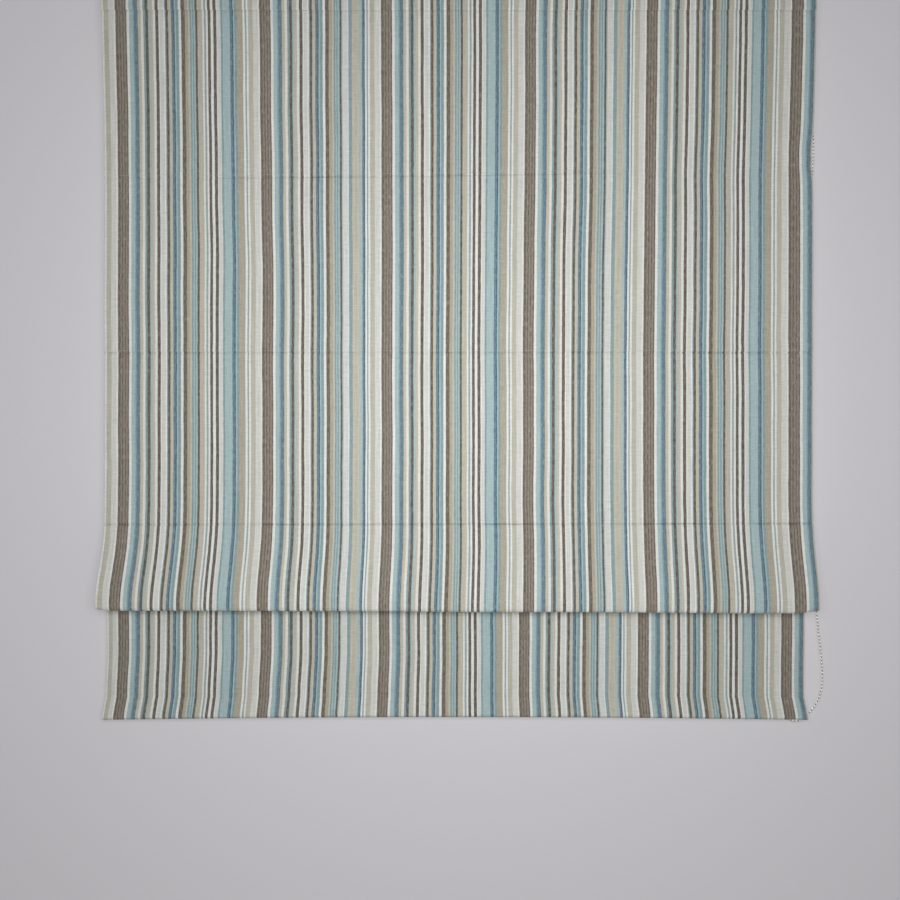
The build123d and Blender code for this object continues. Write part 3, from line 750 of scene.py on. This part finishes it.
def spun(mesh, centre, outline, steps):
    """Turn an outline of (radius, height) points round the upright line through centre."""
    made = [mesh.verts.new(centre + Vector((radius, 0, height))) for radius, height in outline]
    edges = [mesh.edges.new(pair) for pair in zip(made, made[1:])]
    if outline[0][0] > 0 and outline[-1][0] > 0:
        edges.append(mesh.edges.new((made[-1], made[0])))
    bmesh.ops.spin(mesh, geom=made + edges, cent=centre, axis=(0, 0, 1), angle=2 * pi, steps=steps,
                   use_merge=True)


def ring_outline(steps=10):
    """The round section of a ring's wire."""
    turns = [2 * pi * step / steps for step in range(steps)]
    return [(ring_radius + ring_wire * cos(turn), ring_wire * sin(turn)) for turn in turns]


def close_up(mesh):
    """Merge the seams and poles of a turned shape and point its faces outwards."""
    bmesh.ops.remove_doubles(mesh, verts=mesh.verts, dist=seam_gap)
    bmesh.ops.recalc_face_normals(mesh, faces=mesh.faces)


for number, rod in enumerate(rods, start=1):
    mesh = bmesh.new()
    for x in cord_places:
        spun(mesh, Vector((x, cord_y, rod.z)), ring_outline(), ring_turns)
    close_up(mesh)
    ring_row = make_object(f"cord_rings_{number}", mesh, clear_plastic)
    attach(ring_row, "hem_section" if number == 4 else "headrail")
    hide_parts(f"ring_row_{number}")


# Lift cords and their orbs
# Braided polyester cord from each spool down through the rings. It ends in a moulded orb under the
# lowest ring, where the knot hides. On the blind the cords pay out as the hem goes down; here each is one
# fixed straight length.
# Braid: white strands crossing at about two millimetres.
braid = grained("braided_polyester", "#eeeeea", "#cfcfca", grain=1.0, relief=0.25, gloss=(0.65, 0.85),
                stretch=(1, 1, 1.6), Sheen_Weight=0.2)
lift_cord_radius = 0.7 * mm
lift_cord_sides = 10
lift_cord_cuts = 60
for number, x in enumerate(cord_places, start=1):
    low, high = (Vector(corner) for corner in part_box(f"lift_cord_{number}"))
    height = high.z - low.z
    middle = Matrix.Translation((x, cord_y, low.z + height / 2))
    mesh = bmesh.new()
    bmesh.ops.create_cone(mesh, segments=lift_cord_sides, radius1=lift_cord_radius, radius2=lift_cord_radius,
                          depth=height, cap_ends=True, matrix=middle)
    upright = [edge for edge in mesh.edges if edge.calc_length() > height / 2]
    bmesh.ops.subdivide_edges(mesh, edges=upright, cuts=lift_cord_cuts)
    lift_cord = make_object(f"lift_cord_braid_{number}", mesh, braid)
    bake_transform(lift_cord)
    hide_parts(f"lift_cord_{number}")

orb_low, orb_high = (Vector(corner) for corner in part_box("cord_orbs"))
orb_radius = 3.6 * mm
orb_bore = 1.0 * mm
orb_height = orb_high.z - orb_low.z
orb_turns = 24
orb_outline = [
    (orb_bore, 0), (orb_radius * 0.62, 0),
    (orb_radius * 0.92, orb_height * 0.14), (orb_radius, orb_height * 0.36),
    (orb_radius, orb_height * 0.64), (orb_radius * 0.92, orb_height * 0.86),
    (orb_radius * 0.62, orb_height), (orb_bore, orb_height),
]
mesh = bmesh.new()
for x in cord_places:
    spun(mesh, Vector((x, cord_y, orb_low.z)), orb_outline, orb_turns)
close_up(mesh)
orbs = make_object("cord_stop_orbs", mesh, clear_plastic)
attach(orbs, "hem_section")
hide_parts("cord_orbs")


# Bead chain
# An endless loop of nickel plated beads, six millimetres apart on a thin cord. It hangs from the wheel,
# passes beside the cloth, swings out at the foot of the loop and turns back behind the hem.
chain_route = [
    (0.5680, -0.0090, -0.5900), (0.5720, -0.0090, -0.3300), (0.5881, -0.03455, -0.0300),
    (0.5881, -0.03455, 0.00745), (0.5881, -0.01545, 0.00745), (0.5881, -0.01545, -0.0300),
    (0.6110, -0.0105, -0.1300), (0.6145, -0.0090, -0.2300), (0.6085, -0.0090, -0.3400),
    (0.6090, -0.0090, -0.8000),
    (0.6160, -0.0090, -0.9250), (0.6190, -0.0090, -1.0350), (0.6285, -0.0090, -1.1080),
    (0.6300, -0.0090, -1.1550), (0.6200, -0.0090, -1.1860), (0.6020, -0.0090, -1.2060),
    (0.5850, -0.0090, -1.2180), (0.5600, -0.0090, -1.2080), (0.5490, -0.0090, -1.1800),
    (0.5470, -0.0090, -1.1300), (0.5550, -0.0090, -1.0100), (0.5650, -0.0090, -0.8000),
    (0.5676, -0.0090, -0.6010),
]
chain_cord_radius = 0.6 * mm
bead_radius = 2.1 * mm
bead_pitch = 6 * mm
first_gap = 0.7 * bead_pitch


def route_curve(name, bevel):
    """A smooth curve with the chain's route as its control points."""
    data = bpy.data.curves.new(name, "CURVE")
    data.dimensions = "3D"
    data.bevel_depth = bevel
    data.bevel_resolution = 2
    data.use_fill_caps = bevel > 0
    spline = data.splines.new("NURBS")
    spline.points.add(len(chain_route) - 1)
    for control, place in zip(spline.points, chain_route):
        control.co = (*place, 1)
    spline.order_u = 3
    spline.use_endpoint_u = True
    spline.resolution_u = 24
    made = bpy.data.objects.new(name, data)
    scene.collection.objects.link(made)
    return made


chain_thread = route_curve("chain_thread", chain_cord_radius)
# Cord: painted dark as the painted shade in the gaps between the beads, not its own colour.
cord_painted_gap_shade = grained("cord_painted_gap_shade", "#2e2b27", "#1f1d1a", grain=1.0, relief=0.1, gloss=(0.5, 0.7))
chain_thread.data.materials.append(cord_painted_gap_shade)
guide = route_curve("chain_guide", 0)
bpy.context.view_layer.update()
guide_mesh = bpy.data.meshes.new_from_object(guide)
chain_line = [vert.co.copy() for vert in guide_mesh.vertices]
bpy.data.objects.remove(guide)
bpy.data.meshes.remove(guide_mesh)

# Nickel plate: bright and slightly warm, dulled to a pearly white by handling.
nickel = grained("nickel_plated_beads", "#f8f5ee", "#ebe7de", grain=1.2, relief=0.01, gloss=(0.2, 0.34),
                 Metallic=0.35)
bead = bmesh.new()
bmesh.ops.create_uvsphere(bead, u_segments=8, v_segments=6, radius=bead_radius)
bead_places = []
chain_length = 0
next_bead = first_gap
for here, there in zip(chain_line, chain_line[1:]):
    run = (there - here).length
    while next_bead <= chain_length + run:
        spot = here.lerp(there, (next_bead - chain_length) / run)
        bead_places.append(Matrix.Translation(spot))
        next_bead += bead_pitch
    chain_length += run
beads = make_object("chain_beads", repeated(bead, bead_places), nickel)

clasp_foot, clasp_head = Vector(chain_route[-1]), Vector(chain_route[0])
clasp_length = (clasp_head - clasp_foot).length
clasp_radius = 3 * mm
clasp_turns = 20
clasp_outline = [
    (0, 0), (clasp_radius * 0.55, 0), (clasp_radius * 0.88, clasp_length * 0.08),
    (clasp_radius, clasp_length * 0.2), (clasp_radius, clasp_length * 0.42),
    (clasp_radius * 0.8, clasp_length * 0.46), (clasp_radius * 0.8, clasp_length * 0.54),
    (clasp_radius, clasp_length * 0.58), (clasp_radius, clasp_length * 0.8),
    (clasp_radius * 0.88, clasp_length * 0.92), (clasp_radius * 0.55, clasp_length), (0, clasp_length),
]
mesh = bmesh.new()
spun(mesh, clasp_foot, clasp_outline, clasp_turns)
close_up(mesh)
clasp = make_object("chain_clasp_barrel", mesh, clear_plastic)
for piece, node, slot in (
    (chain_thread, "chain_cord", "cord_white"),
    (beads, "bead_chain", "chain_metal"),
    (clasp, "chain_connector", "chain_clasp"),
):
    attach(piece, "headrail")
    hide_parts(node)


# Wall, floor, light and camera
# A plain pale wall that only the camera sees, and only from the front, and a plain pale floor. Both owe part
# of their paleness to a glow that only the camera sees. Two lamps beside the camera light the front, a third
# one the back. The camera stands where the photograph was taken.
def stage_plane(name, corners, material):
    """A flat backdrop through four corners."""
    mesh = bmesh.new()
    mesh.faces.new([mesh.verts.new(corner) for corner in corners])
    plane = make_object(name, mesh, material)


wall_paint, tree, shader = start_material("pale_wall_paint", Roughness=0.9, Base_Color=linear("#b2b0b4"),
                                          Emission_Color=linear("#dcdadd"), Emission_Strength=0.29)
light_path = add_node(tree, "ShaderNodeLightPath")
facing = add_node(tree, "ShaderNodeNewGeometry")
seen = add_node(tree, "ShaderNodeMath", operation="SUBTRACT", use_clamp=True, inputs={
    0: light_path.outputs["Is Camera Ray"], 1: facing.outputs["Backfacing"]})
clear = add_node(tree, "ShaderNodeBsdfTransparent")
choice = add_node(tree, "ShaderNodeMixShader",
                  {0: seen.outputs[0], 1: clear.outputs[0], 2: shader.outputs[0]})
tree.links.new(choice.outputs[0], tree.nodes["Material Output"].inputs["Surface"])
floor_z = -2.05
wall_y = 1.5 * mm
reach = 6.0
floor_lift = 0.3
stage_plane("wall", [(-reach, wall_y, floor_z), (reach, wall_y, floor_z), (reach, wall_y, reach),
                     (-reach, wall_y, reach)], wall_paint)
floor_paint, tree, shader = start_material("pale_floor", Roughness=0.8, Base_Color=linear("#e4e3e0"),
                                           Emission_Color=linear("#e4e3e0"))
light_path = add_node(tree, "ShaderNodeLightPath")
lift = add_node(tree, "ShaderNodeMapRange",
                {"Value": light_path.outputs["Is Camera Ray"], "To Max": floor_lift})
tree.links.new(lift.outputs["Result"], shader.inputs["Emission Strength"])
stage_plane("floor", [(-reach, -reach, floor_z), (reach, -reach, floor_z), (reach, reach, floor_z),
                      (-reach, reach, floor_z)], floor_paint)

ambient_light = 0.24
shown_light = 0.7
world = bpy.data.worlds.new("studio")
scene.world = world
world.use_nodes = True
tree = world.node_tree
rays = add_node(tree, "ShaderNodeLightPath")
direct = add_node(tree, "ShaderNodeMath", operation="MAXIMUM", inputs={
    0: rays.outputs["Is Camera Ray"], 1: rays.outputs["Is Glossy Ray"]})
shown = add_node(tree, "ShaderNodeMath", operation="MAXIMUM", inputs={
    0: direct.outputs[0], 1: rays.outputs["Is Transmission Ray"]})
strength = add_node(tree, "ShaderNodeMapRange",
                    {"Value": shown.outputs[0], "To Min": ambient_light, "To Max": shown_light})
background = tree.nodes["Background"]
background.inputs["Color"].default_value = linear("#f4f5f8")
tree.links.new(strength.outputs["Result"], background.inputs["Strength"])

soft_box = radians(120)
all_round = pi
for name, place, target, size, power, spread in (
    ("key_lamp", (-0.15, -1.66, -0.58), (0, 0, -0.65), (0.5, 0.5), 4.7, soft_box),
    ("fill_lamp", (0.2, -1.66, -0.68), (0, 0, -0.65), (0.5, 0.5), 4.7, soft_box),
    ("rear_lamp", (0.6, 1.8, -0.9), (0, 0, -0.6), (2.0, 1.6), 24, all_round),
):
    data = bpy.data.lights.new(name, "AREA")
    data.shape = "RECTANGLE"
    data.size, data.size_y = size
    data.energy = power
    data.spread = spread
    lamp = bpy.data.objects.new(name, data)
    lamp.location = place
    lamp.rotation_euler = (Vector(target) - Vector(place)).to_track_quat("-Z", "Z").to_euler()
    lamp.visible_camera = False
    scene.collection.objects.link(lamp)

view_angle = radians(52.1)
camera_place = (-13.8 * mm, -1.599, -0.747)
camera_data = bpy.data.cameras.new("camera")
camera_data.sensor_fit = "HORIZONTAL"
camera_data.angle = view_angle
camera = bpy.data.objects.new("camera", camera_data)
camera.location = camera_place
camera.rotation_euler = (pi / 2, 0, 0)
scene.collection.objects.link(camera)
scene.camera = camera
scene.view_settings.view_transform = "Standard"
